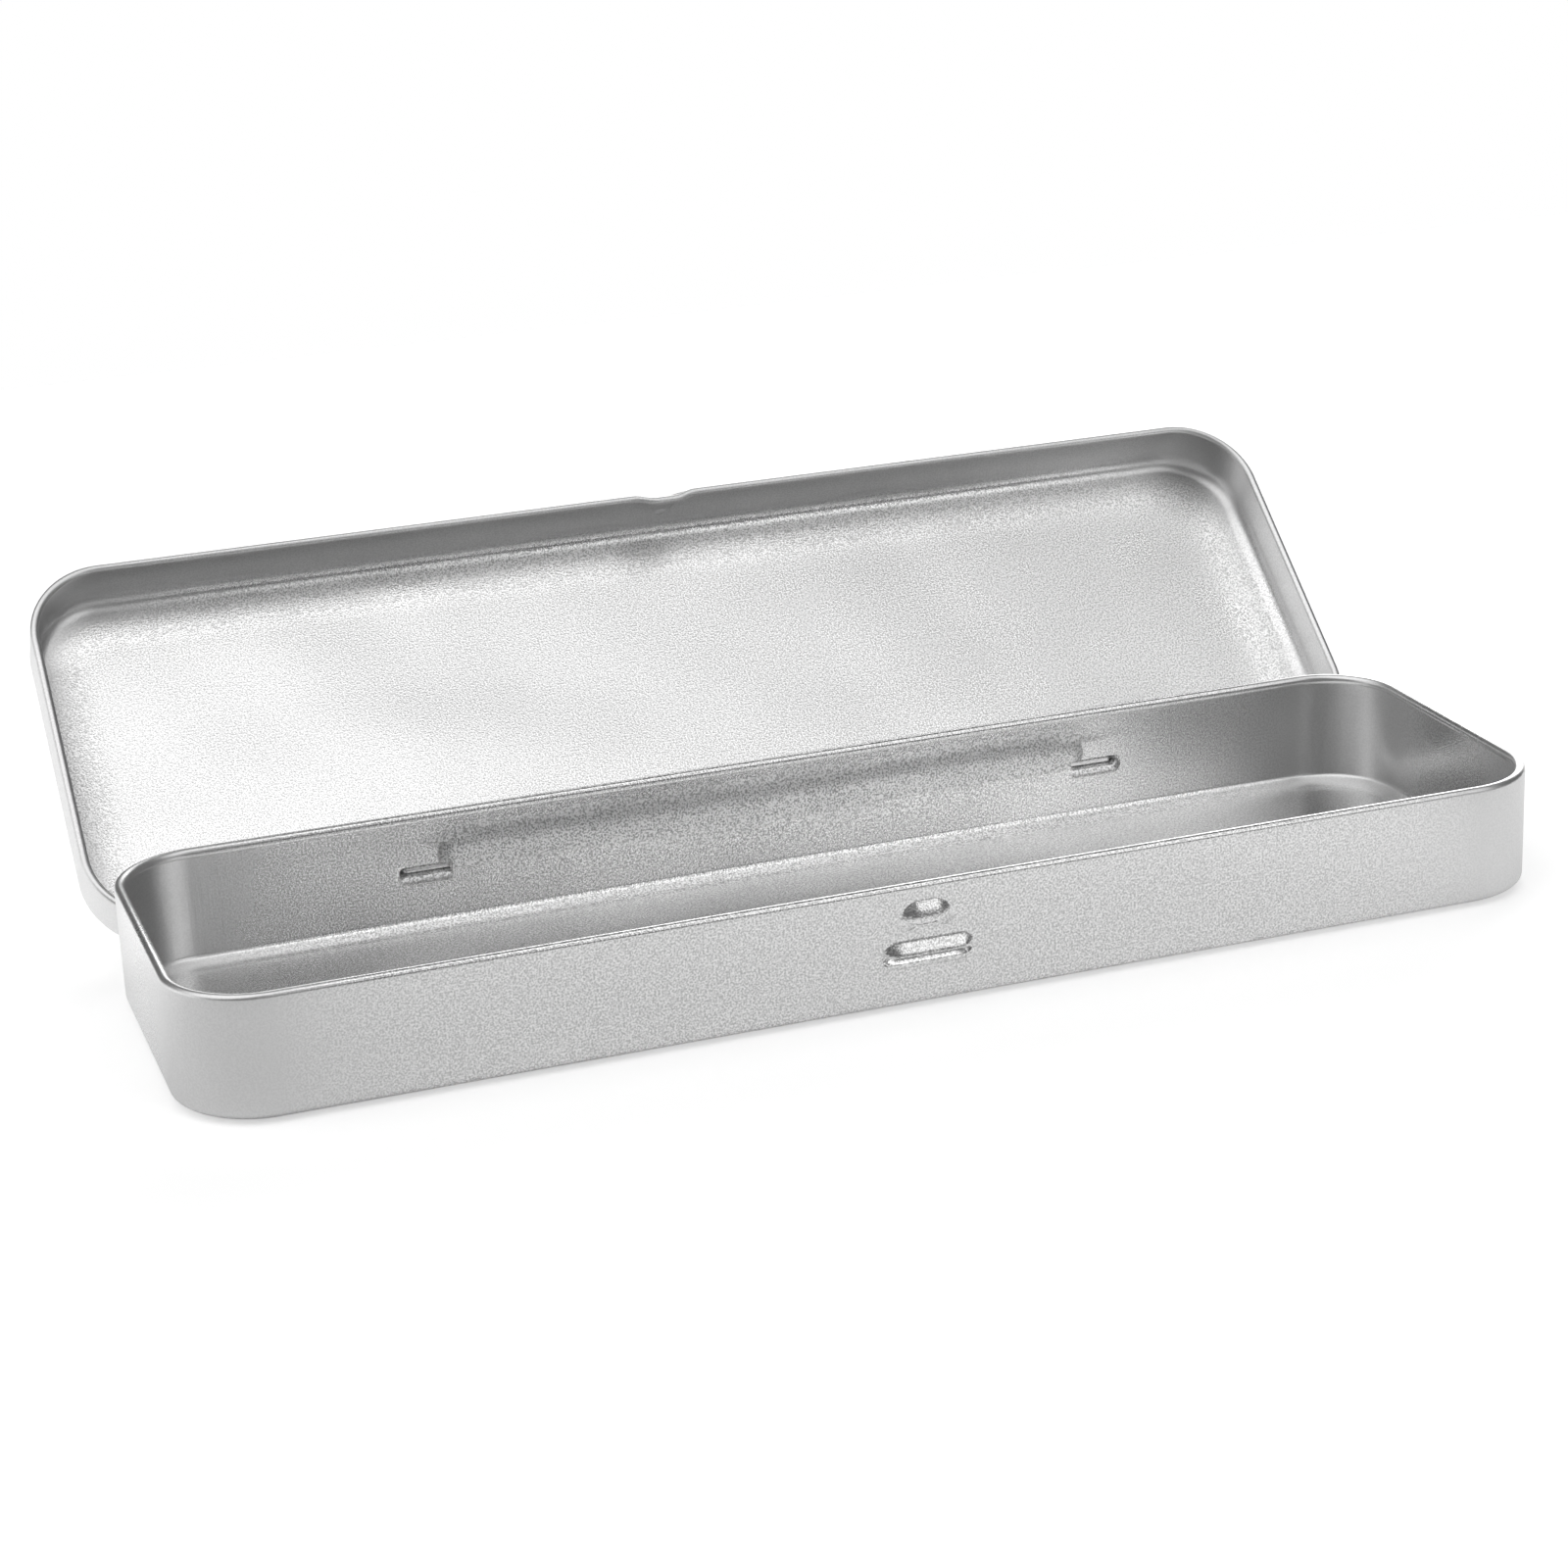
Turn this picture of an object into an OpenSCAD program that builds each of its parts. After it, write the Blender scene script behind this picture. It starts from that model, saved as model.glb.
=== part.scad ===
// Long, shallow hinged tin for coloured pencils: a drawn tray and a drawn lid, both with a rolled
// rim, joined behind the tray by two short wire pins.
// X runs along the tin, Y from front to back and Z up. The origin is the middle of the tray's
// underside. The lid is drawn open, at its stop.

/* [Sheet] */
// Thickness of the tinplate
sheet = 0.3; // [0.2:0.05:0.4]

/* [Tray] */
// Outside length of the tray
tray_length = 186.8; // [150:0.2:240]
// Outside width of the tray, front to back
tray_width = 54.8; // [44:0.2:80]
// Height of the tray to the top of its rim
tray_height = 17.1; // [16.8:0.1:20]
// Outside radius of the tray's upright corners
tray_corner_r = 11.6; // [7:0.1:16]
// Outside radius between the tray's wall and its floor
tray_fillet_r = 2; // [1:0.1:3]
// Radius of the tray's rolled rim
tray_rim_r = 0.7; // [0.5:0.05:0.9]

/* [Lid] */
// Clear height between the tray's rim and the panel of the shut lid
headroom = 2.8; // [2:0.1:3.6]
// How much smaller the lid's upright corners are than the tray's
corner_ease = 0.2; // [-0.5:0.1:1]
// Outside radius between the lid's skirt and its panel
lid_fillet_r = 2.8; // [1.5:0.1:3.5]
// Radius of the lid's rolled rim
lid_rim_r = 0.6; // [0.5:0.05:0.7]
// Angle from shut to fully open
open_angle = 139.8; // [120:0.2:141]

/* [Hinge] */
// Distance between the open ends of the two knuckles
knuckle_spacing = 92.4; // [60:0.2:110]
// Length of a knuckle up to its round end
knuckle_length = 6.6; // [4:0.1:9]
// How far the middle of a knuckle lies below its pin
knuckle_drop = 0.35; // [0.2:0.05:0.7]
// Height of the pins above the tray's underside
pin_height = 8.4; // [8.4:0.1:9.4]
// Radius of the hinge wire
pin_r = 0.4; // [0.3:0.05:0.5]
// Length of a lug of the lid, along its pin
lug_length = 6.2; // [4:0.1:9]

/* [Latch] */
// Distance of the latch from the middle of the front, to the right
latch_x = 1.2; // [-10:0.1:10]
// Width of the catch boss on the tray
boss_width = 5.5; // [4:0.1:6]
// Height of the catch boss's middle above its sharp lower edge
boss_rise = 0.8; // [0.5:0.1:1.2]
// Width of the dent in the lid's rim
dent_width = 7.4; // [5:0.1:10]
// Depth of the dent in the lid's rim
dent_depth = 0.6; // [0.3:0.05:0.8]
// Height of the dent, from the lid's rim
dent_height = 2.2; // [1.6:0.1:3]
// Depth of the snap nib below the lid's rim
nib_depth = 4.2; // [3.6:0.1:6]
// Width of the snap nib
nib_width = 1.6; // [1:0.1:3]
// How far the snap nib stands in from the lid's skirt
nib_height = 0.3; // [0.1:0.05:0.4]

/* [Finger bar] */
// Distance of the finger bar from the middle of the front, to the right
finger_x = 1.7; // [-10:0.1:10]
// Width of the finger bar
finger_width = 14; // [8:0.1:24]
// How far the finger bar stands out
finger_depth = 1; // [0.5:0.05:1.4]
// Height of the finger bar, from its lip to its top
finger_height = 2.1; // [1.6:0.1:2.4]
// Width of the rib under the finger bar
rib_width = 11.4; // [6:0.1:20]
// Radius of the rib under the finger bar
rib_r = 0.35; // [0.2:0.05:0.5]
// How far the rib stands out
rib_depth = 0.25; // [0.1:0.05:0.3]

/* [Clearances] */
// Play between a pin and the knuckle that it turns in
pin_play = 0.1; // [0.05:0.01:0.2]
// Gap between a lug and the tray's rear wall
lug_gap = 0.3; // [0.2:0.05:0.5]
// Gap between a lug and the open end of its knuckle
lug_end_gap = 0.35; // [0.2:0.05:0.8]
// Gap between the lid's rim and the tray's wall at each end
end_gap = 0.25; // [0.2:0.05:0.6]
// Least gap as the lid's front rim passes the tray's front rim
front_gap = 0.45; // [0.3:0.05:0.8]
// Gap between the lid's rear rim and the knuckles at the open stop
stop_gap = 0.12; // [0.1:0.01:0.3]
// Gap between the lid's passing rim and the catch boss
boss_gap = 0.2; // [0.15:0.05:0.4]
// Gap between the shut lid's rim and the boss above it
latch_gap = 0.4; // [0.05:0.05:0.5]
// Gap between the shut lid's rim and the finger bar below it
finger_gap = 0.5; // [0.3:0.1:1.5]
// Gap between the finger bar's lip and the rib below it
rib_gap = 0.3; // [0.2:0.05:0.5]

/* [Hidden] */
$fn = 96;
cut = 1;

// Hinge: the lid's lugs are curled round the pins, and the pins turn in the tray's knuckles.
lug_r = pin_r + sheet;
pin_setback = lug_gap + lug_r;
pin_y = tray_width / 2 + pin_setback;
knuckle_z = pin_height - knuckle_drop;
knuckle_bore_r = norm([pin_setback, knuckle_drop]) + pin_r + pin_play;
knuckle_r = knuckle_bore_r + sheet;
knuckle_open_x = knuckle_spacing / 2;
lug_x = knuckle_open_x - lug_end_gap - lug_length;

// The lid's rear rim lies where it meets the knuckles at the open angle. Seen from the pin,
// rim_back and rim_up lead to the middle of the rim of the shut lid.
stop_reach = knuckle_r + lid_rim_r + stop_gap;
rim_back = lug_r - lid_rim_r;
stop_y = pin_setback + rim_back * cos(open_angle);
stop_z = knuckle_drop - rim_back * sin(open_angle);
stop_b = stop_y * sin(open_angle) + stop_z * cos(open_angle);
rim_up = sqrt(stop_b ^ 2 + stop_reach ^ 2 - stop_y ^ 2 - stop_z ^ 2) - stop_b;
shut_rim_z = pin_height + rim_up - lid_rim_r;

// The lid's front rim swings past the tray's front rim.
rim_pass_y = pin_y + tray_width / 2 + front_gap + lid_rim_r;
rim_pass_z = tray_height - tray_rim_r - pin_height;
rim_swing = norm([rim_pass_y, rim_pass_z]);
lid_front_y = pin_y - sqrt(rim_swing ^ 2 - rim_up ^ 2) - lid_rim_r;
lid_rear_y = pin_y + lug_r;
lid_length = tray_length + 2 * (end_gap + 2 * lid_rim_r);
lid_width = lid_rear_y - lid_front_y;
lid_mid_y = (lid_rear_y + lid_front_y) / 2;
lid_corner_r = tray_corner_r - corner_ease;
lid_depth = tray_height + headroom + sheet - shut_rim_z;

// Catch boss: a spherical bump, cut off below.
boss_edge_z = shut_rim_z + 2 * lid_rim_r + latch_gap;
boss_z = boss_edge_z + boss_rise;
boss_swing_y = sqrt(rim_swing ^ 2 - (boss_z - pin_height) ^ 2);
boss_depth = boss_swing_y - pin_y - tray_width / 2 - lid_rim_r - boss_gap;
boss_ball_r = (boss_width ^ 2 / 4 + boss_depth ^ 2) / (2 * boss_depth);

// Dent: the lid's rim pressed in over a round tool.
dent_tool_r = (dent_width ^ 2 / 4 + dent_depth ^ 2) / (2 * dent_depth);
nib_ball_r = (nib_width ^ 2 / 4 + nib_height ^ 2) / (2 * nib_height);

// Finger bar: a round bar with its underside cut off flat, and a rib below it.
finger_top_z = shut_rim_z - finger_gap;
finger_lip_z = finger_top_z - finger_height;
finger_bar_r = (finger_height ^ 2 + finger_depth ^ 2) / (2 * finger_depth);
rib_z = finger_lip_z - rib_gap - rib_r;

// Section through a wall: rolled rim, wall, fillet and a strip of floor. X is zero at the axis of
// the upright corner and corner_r at the wall's outer face, and Y is zero at the underside.
module wall_section(depth, corner_r, fillet_r, rim_r) {
    translate([corner_r - rim_r, depth - rim_r])
        circle(r = rim_r);
    translate([corner_r - sheet, fillet_r])
        square([sheet, depth - fillet_r - rim_r]);
    translate([corner_r - fillet_r, fillet_r])
        intersection() {
            difference() {
                circle(r = fillet_r);
                circle(r = fillet_r - sheet);
            }
            translate([0, -fillet_r])
                square(fillet_r);
        }
    square([corner_r - fillet_r, sheet]);
}

// A drawn pan with its opening up, its underside at Z = 0 and its middle at the origin
module pan(length, width, depth, corner_r, fillet_r, rim_r) {
    runs = [length - 2 * corner_r, width - 2 * corner_r];
    for (side = [0:3]) {
        run = runs[side % 2];
        axis_y = runs[(side + 1) % 2] / 2;
        rotate(90 * side)
            translate([-run / 2, axis_y, 0]) {
                rotate([90, 0, 90])
                    linear_extrude(run)
                        wall_section(depth, corner_r, fillet_r, rim_r);
                rotate(90)
                    rotate_extrude(angle = 90)
                        wall_section(depth, corner_r, fillet_r, rim_r);
            }
    }
    translate([-runs[0] / 2, -runs[1] / 2, 0])
        cube([runs[0], runs[1], sheet]);
}

// A bar along +X from the origin, with a half ball past its far end
module round_ended_bar(r, length) {
    rotate([0, 90, 0])
        rotate_extrude() {
            square([r, length]);
            translate([0, length])
                intersection() {
                    circle(r = r);
                    square(r);
                }
        }
}

// A bar along X, centred on the origin, with a half ball at both ends and an overall length
module round_bar(r, length) {
    straight = length / 2 - r;
    for (turn = [0, 180])
        rotate(turn)
            round_ended_bar(r, straight);
}

// Children at the right hinge, and mirrored at the left one
module at_hinges() {
    children();
    mirror([1, 0, 0])
        children();
}

// Children of the shut lid, turned about the pins to the open stop
module opened() {
    translate([0, pin_y, pin_height])
        rotate([-open_angle, 0, 0])
            translate([0, -pin_y, -pin_height])
                children();
}

// The hollow of a knuckle, open towards the tray's middle and into the tray
module knuckle_hollow() {
    translate([knuckle_open_x, tray_width / 2, knuckle_z])
        round_ended_bar(knuckle_bore_r, knuckle_length);
}

// A half-round knuckle pressed out of the tray's rear wall
module knuckle_shell() {
    difference() {
        intersection() {
            translate([knuckle_open_x, tray_width / 2, knuckle_z])
                round_ended_bar(knuckle_r, knuckle_length);
            translate([knuckle_open_x, tray_width / 2, knuckle_z - 2 * knuckle_r])
                cube([2 * knuckle_length + knuckle_r, 2 * knuckle_r, 4 * knuckle_r]);
        }
        knuckle_hollow();
    }
}

// The space in front of the plane Y = back and above the plane Z = bottom
module front_space(back, bottom) {
    translate([-tray_length / 2, back - tray_width, bottom])
        cube([tray_length, tray_width, tray_height]);
}

// The ball that presses out the catch boss, or its inside
module boss_ball(inset) {
    translate([latch_x, boss_ball_r - boss_depth - tray_width / 2, boss_z])
        sphere(r = boss_ball_r - inset);
}

module boss_hollow() {
    intersection() {
        boss_ball(sheet);
        front_space(sheet - tray_width / 2, boss_edge_z + sheet);
    }
}

// The catch boss pressed out of the tray's front wall, with a sharp lower edge
module boss_shell() {
    difference() {
        intersection() {
            boss_ball(0);
            front_space(-tray_width / 2, boss_edge_z);
        }
        boss_hollow();
    }
}

// The bar that presses out the finger bar, or its inside
module finger_round(inset) {
    translate([finger_x, finger_bar_r - finger_depth - tray_width / 2, finger_lip_z])
        round_bar(finger_bar_r - inset, finger_width - 2 * inset);
}

module finger_hollow() {
    intersection() {
        finger_round(sheet);
        front_space(sheet - tray_width / 2, finger_lip_z + sheet);
    }
}

// The finger bar pressed out of the tray's front wall, with a sharp lip below
module finger_shell() {
    difference() {
        intersection() {
            finger_round(0);
            front_space(-tray_width / 2, finger_lip_z);
        }
        finger_hollow();
    }
}

// The thin rib under the finger bar
module finger_rib() {
    intersection() {
        translate([finger_x, rib_r - rib_depth - tray_width / 2, rib_z])
            round_bar(rib_r, rib_width);
        front_space(-tray_width / 2, 0);
    }
}

module base_tray() {
    color("silver") {
        difference() {
            pan(tray_length, tray_width, tray_height, tray_corner_r, tray_fillet_r, tray_rim_r);
            at_hinges()
                knuckle_hollow();
            boss_hollow();
            finger_hollow();
        }
        at_hinges()
            knuckle_shell();
        boss_shell();
        finger_shell();
        finger_rib();
    }
}

// A lug of the lid, curled round its pin
module lug() {
    translate([lug_x, pin_y, pin_height]) {
        rotate([0, 90, 0])
            difference() {
                cylinder(r = lug_r, h = lug_length);
                translate([0, 0, -cut])
                    cylinder(r = pin_r, h = lug_length + 2 * cut);
            }
        translate([0, pin_r, 0])
            cube([lug_length, sheet, rim_up]);
    }
}

// The round tool that presses the dent in from the front, or that tool and the pressed sheet
module dent_tool(added, bottom, top) {
    translate([latch_x, lid_front_y + dent_depth - dent_tool_r, shut_rim_z + bottom])
        cylinder(r = dent_tool_r + added, h = top - bottom);
}

// The sheet that the dent pushes in, between the lid's rim and its skirt
module dent_sheet() {
    difference() {
        intersection() {
            dent_tool(sheet, lid_rim_r, dent_height + sheet);
            translate([-lid_length / 2, lid_front_y, shut_rim_z])
                cube([lid_length, lid_width, lid_depth]);
        }
        dent_tool(0, 0, dent_height);
    }
}

// The ball that presses in the snap nib, or its outside
module nib_ball(inset) {
    translate([latch_x, lid_front_y + sheet + nib_height - nib_ball_r, shut_rim_z + nib_depth])
        sphere(r = nib_ball_r - inset);
}

module lid() {
    color("silver")
        opened() {
            difference() {
                union() {
                    translate([0, lid_mid_y, shut_rim_z + lid_depth])
                        mirror([0, 0, 1])
                            pan(lid_length, lid_width, lid_depth,
                                lid_corner_r, lid_fillet_r, lid_rim_r);
                    intersection() {
                        nib_ball(0);
                        translate([-lid_length / 2, lid_front_y + sheet / 2, shut_rim_z])
                            cube([lid_length, lid_width, lid_depth]);
                    }
                }
                nib_ball(sheet);
                dent_tool(0, -cut, dent_height);
            }
            dent_sheet();
            at_hinges()
                lug();
        }
}

// A hinge wire: held in the lid's lug, with its round end free in the tray's knuckle
module hinge_pin() {
    root_x = lug_x + sheet;
    translate([root_x, pin_y, pin_height])
        round_ended_bar(pin_r, knuckle_open_x + knuckle_length - pin_r - root_x);
}

module left_hinge_pin() {
    color("gainsboro")
        mirror([1, 0, 0])
            hinge_pin();
}

module right_hinge_pin() {
    color("gainsboro")
        hinge_pin();
}

base_tray();
lid();
left_hinge_pin();
right_hinge_pin();
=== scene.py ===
import logging
import math
from dataclasses import dataclass, field
from enum import Enum
from typing import Callable, Iterable, Sequence

import bmesh
import bpy
from mathutils import Matrix, Vector


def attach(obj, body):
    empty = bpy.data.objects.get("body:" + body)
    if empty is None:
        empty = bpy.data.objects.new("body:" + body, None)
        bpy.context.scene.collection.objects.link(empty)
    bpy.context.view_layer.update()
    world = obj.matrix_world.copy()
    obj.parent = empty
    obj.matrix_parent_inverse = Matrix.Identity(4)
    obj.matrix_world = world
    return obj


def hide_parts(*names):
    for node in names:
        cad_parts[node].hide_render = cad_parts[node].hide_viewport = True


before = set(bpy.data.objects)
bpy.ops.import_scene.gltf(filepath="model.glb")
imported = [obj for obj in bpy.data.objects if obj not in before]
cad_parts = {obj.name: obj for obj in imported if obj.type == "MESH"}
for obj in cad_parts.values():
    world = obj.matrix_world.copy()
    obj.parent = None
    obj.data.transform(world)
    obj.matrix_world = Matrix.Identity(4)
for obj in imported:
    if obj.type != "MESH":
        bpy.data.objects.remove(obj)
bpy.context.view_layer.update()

# In metres: one millimetre, how far off a place a point may lie and still be there, and how
# far apart two points may lie and still be merged.
MM = 0.001
NEAR = 0.004 * MM
WELD = NEAR / 4
# How far before or behind its crest a tool still meets the sheet, in millimetres.
REACH = 2.2
# How far off a slit an edge may lie and still be cut, in millimetres.
KERF = 0.01
# Edges are left whole up to this many times the length to reach.
SLACK = 1.2
# Edges that meet at more than this many degrees stay sharp.
SHARP_EDGE = 38
# Names of the marks that a pan's points carry for its finish.
DRAWN = "drawn"
WORKED = "worked"
log = logging.getLogger("pencil_tin")

Element = bmesh.types.BMVert | bmesh.types.BMEdge | bmesh.types.BMFace
Point = tuple[float, float, float]
# A place on the front or rear wall, along X and up.
Place = tuple[float, float]

UP: Point = (0, 0, 1)
DOWN: Point = (0, 0, -1)
RIGHT: Point = (1, 0, 0)


class Falloff(Enum):
    """How a push fades with distance from the tool."""

    ROUND = "SPHERE"
    DOME = "INVERSE_SQUARE"
    SOFT = "SMOOTH"


class Kind(Enum):
    """The elements of a mesh that can be selected."""

    VERTS = "verts"
    EDGES = "edges"
    FACES = "faces"


class Axis(Enum):
    """An axis of the frame, by its place in a point."""

    X = 0
    Y = 1
    Z = 2

    @property
    def unit(self) -> Vector:
        """The unit vector along the axis."""
        return Vector([float(i == self.value) for i in range(3)])


@dataclass(frozen=True)
class Box:
    """A block of space, in millimetres."""

    low: Point
    high: Point

    def holds(self, point: Vector) -> bool:
        """Tells whether a point lies in the block, or on its skin.

        Args:
            point: The point, in metres.

        Returns:
            True if it does.
        """
        return all(
            low * MM - NEAR <= value <= high * MM + NEAR
            for low, value, high in zip(self.low, point, self.high)
        )


@dataclass(frozen=True)
class Press:
    """One push of a tool into the sheet, in millimetres.

    The tool's crest runs straight from start to end, and the sheet round it follows as far as
    the reach. The grip is how far off the crest a point may lie and still be on it. A side is
    given for a crest along a slit: only the sheet on that side of the slit is pushed.
    """

    start: Point
    end: Point
    push: Point
    reach: float
    falloff: Falloff = Falloff.DOME
    grip: float = 0.12
    side: Point | None = None


@dataclass(frozen=True)
class Patch:
    """A rectangle of a flat wall that gets a fine grid, in millimetres."""

    box: Box
    pitch: float


@dataclass(frozen=True)
class Slit:
    """A straight cut through the sheet, in millimetres."""

    start: Point
    end: Point


@dataclass(frozen=True)
class Stroke:
    """A push along a level line of a wall, in millimetres.

    The line runs from left to right at a height, all counted from the middle of its feature.
    The push goes along Y. Grip and side are as for a press.
    """

    left: float
    right: float
    height: float
    push: float
    reach: float
    falloff: Falloff = Falloff.DOME
    grip: float = 0.12
    side: Point | None = None

    def at(self, middle: Point, sense: int = 1) -> Press:
        """Places the push on its wall.

        Args:
            middle: The middle of the feature.
            sense: 1, or -1 for a feature that is mirrored left to right.

        Returns:
            The push.
        """
        x, y, z = middle
        return Press(
            (x + self.left * sense, y, z + self.height),
            (x + self.right * sense, y, z + self.height),
            (0, self.push, 0),
            self.reach,
            self.falloff,
            self.grip,
            self.side and (self.side[0] * sense, *self.side[1:]),
        )


@dataclass(frozen=True)
class Feature:
    """A shape pressed out of the front or rear wall beside a slit, in millimetres.

    The patch with the fine grid, from its lower left to its upper right corner, the slit, from
    end to end, and the strokes are all counted from the middle.
    """

    middle: Place
    patch: tuple[Place, Place]
    pitch: float
    slit: tuple[Place, Place]
    strokes: tuple[Stroke, ...]


class Bench:
    """An object open in edit mode, and the handwork on it."""

    def __init__(self, name: str, size: Sequence[float], corner: Sequence[float]) -> None:
        """Starts a piece from a plane.

        Args:
            name: Name of the piece.
            size: The plane's length along X and along Y, in millimetres.
            corner: Its lowest corner, in millimetres.
        """
        bpy.ops.object.select_all(action="DESELECT")
        middle = [corner[0] + size[0] / 2, corner[1] + size[1] / 2, corner[2]]
        bpy.ops.mesh.primitive_plane_add(size=1, location=[c * MM for c in middle])
        self.obj = bpy.context.object
        self.obj.name = self.obj.data.name = name
        self.obj.scale = (size[0] * MM, size[1] * MM, 1)
        bpy.ops.object.transform_apply(location=True, rotation=True, scale=True)
        bpy.ops.object.mode_set(mode="EDIT")
        bpy.ops.mesh.select_all(action="DESELECT")

    @property
    def mesh(self) -> bmesh.types.BMesh:
        """The mesh as it stands in edit mode."""
        return bmesh.from_edit_mesh(self.obj.data)

    def pick(self, kind: Kind, test: Callable[[Element], bool]) -> int:
        """Selects the elements that pass a test, and nothing else.

        Args:
            kind: What to select.
            test: Called with each element.

        Returns:
            How many elements were selected.
        """
        bpy.context.tool_settings.mesh_select_mode = [kind is mode for mode in Kind]
        bpy.ops.mesh.select_all(action="DESELECT")
        mesh = self.mesh
        chosen = [element for element in getattr(mesh, kind.value) if test(element)]
        for element in chosen:
            element.select_set(True)
        bmesh.update_edit_mesh(self.obj.data)
        return len(chosen)

    def extrude(self, move: Sequence[float]) -> None:
        """Extrudes what is selected by a move in millimetres."""
        value = [m * MM for m in move]
        bpy.ops.mesh.extrude_region_move(TRANSFORM_OT_translate={"value": value})

    def spin(self, centre: Sequence[float], axis: Axis, degrees: float, steps: int) -> None:
        """Spins what is selected about an axis.

        Args:
            centre: A point on the axis, in millimetres.
            axis: The axis to turn about.
            degrees: The angle, by the right hand.
            steps: Number of faces along the arc.
        """
        bpy.ops.mesh.spin(
            steps=steps,
            angle=math.radians(-degrees),
            center=[c * MM for c in centre],
            axis=axis.unit,
        )

    def weld(self) -> None:
        """Merges the points that coincide."""
        bpy.ops.mesh.select_all(action="SELECT")
        bpy.ops.mesh.remove_doubles(threshold=WELD)

    def face_out(self, down: Vector) -> None:
        """Points all faces outwards.

        Args:
            down: The side that the large flat face looks to.
        """
        bpy.ops.mesh.select_all(action="SELECT")
        bpy.ops.mesh.normals_make_consistent(inside=False)
        mesh = self.mesh
        flat = max(mesh.faces, key=lambda face: face.calc_area() * abs(face.normal.dot(down)))
        if flat.normal.dot(down) < 0:
            bpy.ops.mesh.flip_normals()

    def divide(self, box: Box, axis: Axis, pitch: float, least: float = 0.0) -> None:
        """Cuts the edges that run along an axis into equal lengths.

        Args:
            box: The edges lie in this block.
            axis: The edges run along this axis.
            pitch: The length to reach, in millimetres.
            least: Edges shorter than this are left alone, in millimetres.
        """
        groups: dict[int, set[tuple[Vector, ...]]] = {}
        for edge in self.mesh.edges:
            ends = _ends(edge)
            span = ends[1] - ends[0]
            along = abs(span[axis.value])
            if along < max(least, pitch * SLACK) * MM or span.length - along > NEAR:
                continue
            if box.holds(ends[0]) and box.holds(ends[1]):
                groups.setdefault(round(along / MM / pitch), set()).add(ends)
        for count, spans in sorted(groups.items()):
            if count > 1 and self.pick(Kind.EDGES, lambda edge: _ends(edge) in spans):
                bpy.ops.mesh.subdivide(number_cuts=count - 1)

    def slice(self, box: Box, axis: Axis, places: Iterable[float]) -> None:
        """Cuts the faces in a block with planes across an axis.

        Args:
            box: Faces whose corners all lie in this block are cut.
            axis: The planes stand across this axis.
            places: Where the planes lie, in millimetres.
        """
        for place in places:
            if self.pick(Kind.FACES, lambda face: all(box.holds(v.co) for v in face.verts)):
                bpy.ops.mesh.bisect(plane_co=axis.unit * place * MM, plane_no=axis.unit)

    def refine(self, wall: Box, patch: Patch) -> None:
        """Gives a rectangle of a flat wall a fine square grid.

        The wall is cut from edge to edge along two sides of the rectangle, and the strip
        between them along the other two.

        Args:
            wall: The flat wall, as a block without thickness.
            patch: The rectangle and its pitch.
        """
        flat = [i for i in range(3) if wall.low[i] == wall.high[i]][0]
        first, second = [axis for axis in Axis if axis.value != flat]
        low, high = patch.box.low, patch.box.high
        self.slice(wall, first, (low[first.value], high[first.value]))
        strip = Box(
            tuple(low[i] if i == first.value else wall.low[i] for i in range(3)),
            tuple(high[i] if i == first.value else wall.high[i] for i in range(3)),
        )
        self.slice(strip, second, (low[second.value], high[second.value]))
        self.divide(patch.box, first, patch.pitch)
        self.divide(patch.box, second, patch.pitch)

    def split(self, slit: Slit) -> None:
        """Parts the sheet along a slit.

        Args:
            slit: The slit.
        """

        def cut(edge: bmesh.types.BMEdge) -> bool:
            """Whether an edge lies on the slit."""
            return all(_gap(v.co, slit.start, slit.end).length < KERF for v in edge.verts)

        if self.pick(Kind.EDGES, cut):
            bpy.ops.mesh.edge_split(type="EDGE")

    def press(self, press: Press) -> None:
        """Pushes a tool into the sheet.

        Args:
            press: The tool's crest, its push and how the sheet follows.
        """
        side = Vector(press.side) if press.side else None
        way = Vector(press.push).normalized()

        def touched(vert: bmesh.types.BMVert) -> bool:
            """Whether the tool's crest touches a point.

            Args:
                vert: The point.

            Returns:
                True if it lies on the crest, and on the tool's side of the slit if it has one.
            """
            gap = _gap(vert.co, press.start, press.end)
            along = gap.dot(way)
            if abs(along) > REACH or (gap - way * along).length > press.grip:
                return False
            if side is None or not vert.is_boundary:
                return True
            middle = sum((f.calc_center_median() for f in vert.link_faces), Vector())
            return (middle / len(vert.link_faces) - vert.co).dot(side) > 0

        if not self.pick(Kind.VERTS, touched):
            log.warning("%s: a tool at %s touches nothing", self.obj.name, press.start)
            return
        bpy.ops.transform.translate(
            value=[p * MM for p in press.push],
            orient_type="GLOBAL",
            use_proportional_edit=True,
            use_proportional_connected=True,
            proportional_edit_falloff=press.falloff.value,
            proportional_size=press.reach * MM,
        )

    def open(self) -> None:
        """Goes back to edit mode, with nothing selected."""
        bpy.ops.object.select_all(action="DESELECT")
        self.obj.select_set(True)
        bpy.context.view_layer.objects.active = self.obj
        bpy.ops.object.mode_set(mode="EDIT")
        bpy.ops.mesh.select_all(action="DESELECT")

    def close(self) -> bpy.types.Object:
        """Leaves edit mode.

        Returns:
            The piece's object.
        """
        bpy.ops.mesh.select_all(action="DESELECT")
        bpy.ops.object.mode_set(mode="OBJECT")
        return self.obj


def _ends(edge: bmesh.types.BMEdge) -> tuple[Vector, ...]:
    """The two ends of an edge, in a form that a set can hold."""
    return tuple(vert.co.copy().freeze() for vert in edge.verts)


def _clamp(value: float) -> float:
    """The value, held between 0 and 1."""
    return min(1.0, max(0.0, value))


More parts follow.
